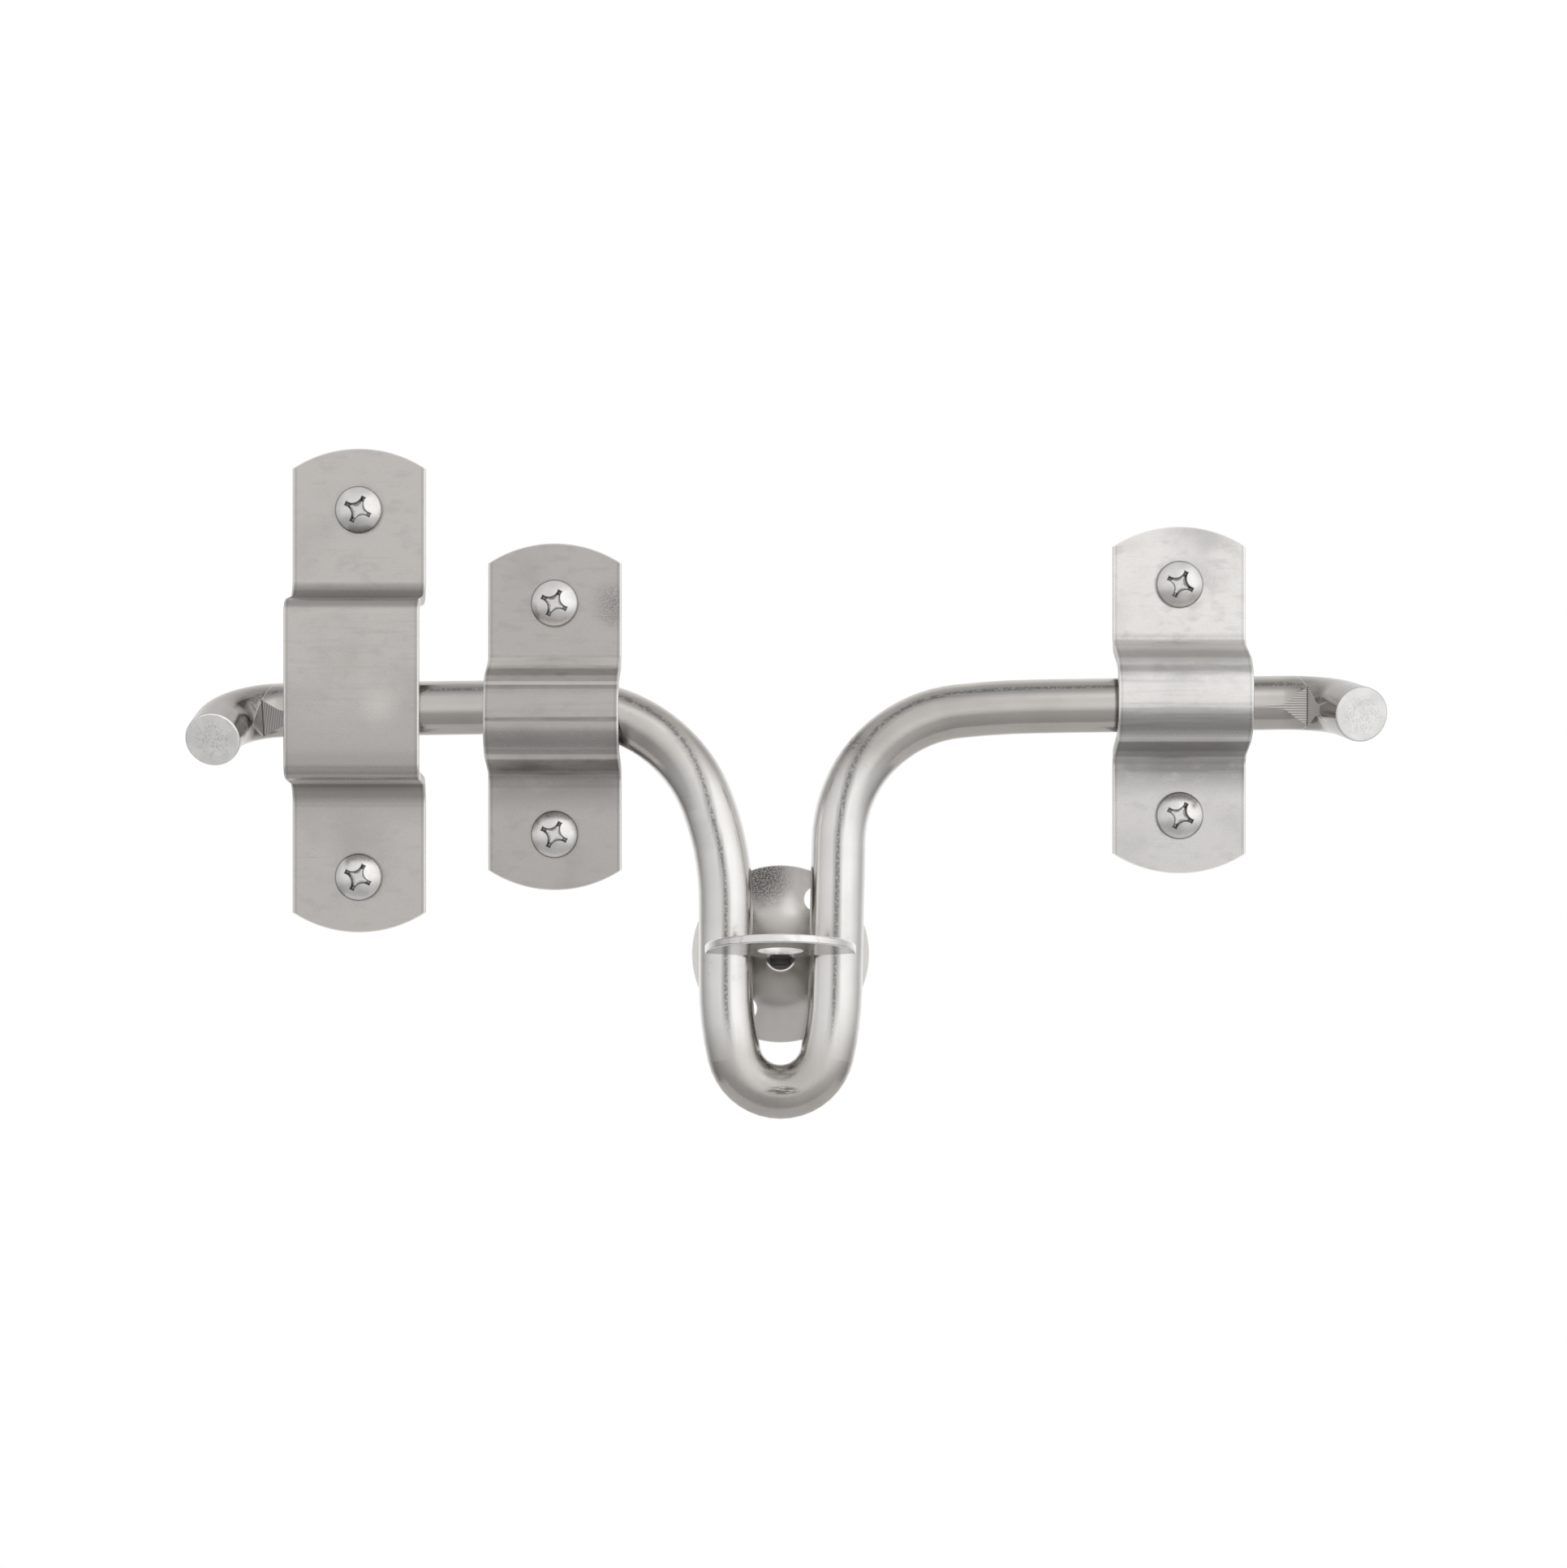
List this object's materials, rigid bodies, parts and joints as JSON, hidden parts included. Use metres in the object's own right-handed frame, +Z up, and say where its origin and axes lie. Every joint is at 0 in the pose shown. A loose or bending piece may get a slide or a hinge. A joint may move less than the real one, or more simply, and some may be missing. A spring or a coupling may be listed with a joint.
{
  "type": "gate latch",
  "caption": "Slide-bolt gate latch: round rod bolt with a hanging loop and turned-out ends, carried in bent straps and locked by a swivel padlock eye on a flared staple.",
  "frame": {"origin": "centre of the staple's round plate on the gate face", "axes": "+X along the bolt away from the keeper, +Y into the gate, +Z up; the gate face is Y = 0"},
  "size_m": [0.2759, 0.0679, 0.1579],
  "materials": {
    "strap_steel": "satin stainless steel with fine grain",
    "rod_steel": "polished stainless rod with light drawing lines",
    "staple_steel": "bright stainless steel",
    "screw_steel": "bright stainless steel"
  },
  "bodies": {
    "fixed_parts": {"keeper_strap": "strap_steel", "left_guide_strap": "strap_steel", "right_guide_strap": "strap_steel", "keeper_screws": "screw_steel", "left_guide_screws": "screw_steel", "right_guide_screws": "screw_steel", "staple_base": "staple_steel"},
    "bolt": {"bolt_rod": "rod_steel"},
    "eye": {"swivel_eye": "staple_steel", "eye_washer": "staple_steel"}
  },
  "joints": [
    {"name": "bolt_turn", "type": "hinge", "parent": "fixed_parts", "child": "bolt", "pos_m": [-0.05058, -0.009, 0.0584], "axis": [-0.9999, 0, -0.0131], "range_deg": [0, 3]},
    {"name": "eye_swivel", "type": "hinge", "parent": "fixed_parts", "child": "eye", "pos_m": [0, -0.008, -0.0005], "axis": [0, -0.9816, 0.1908], "continuous": true}
  ]
}
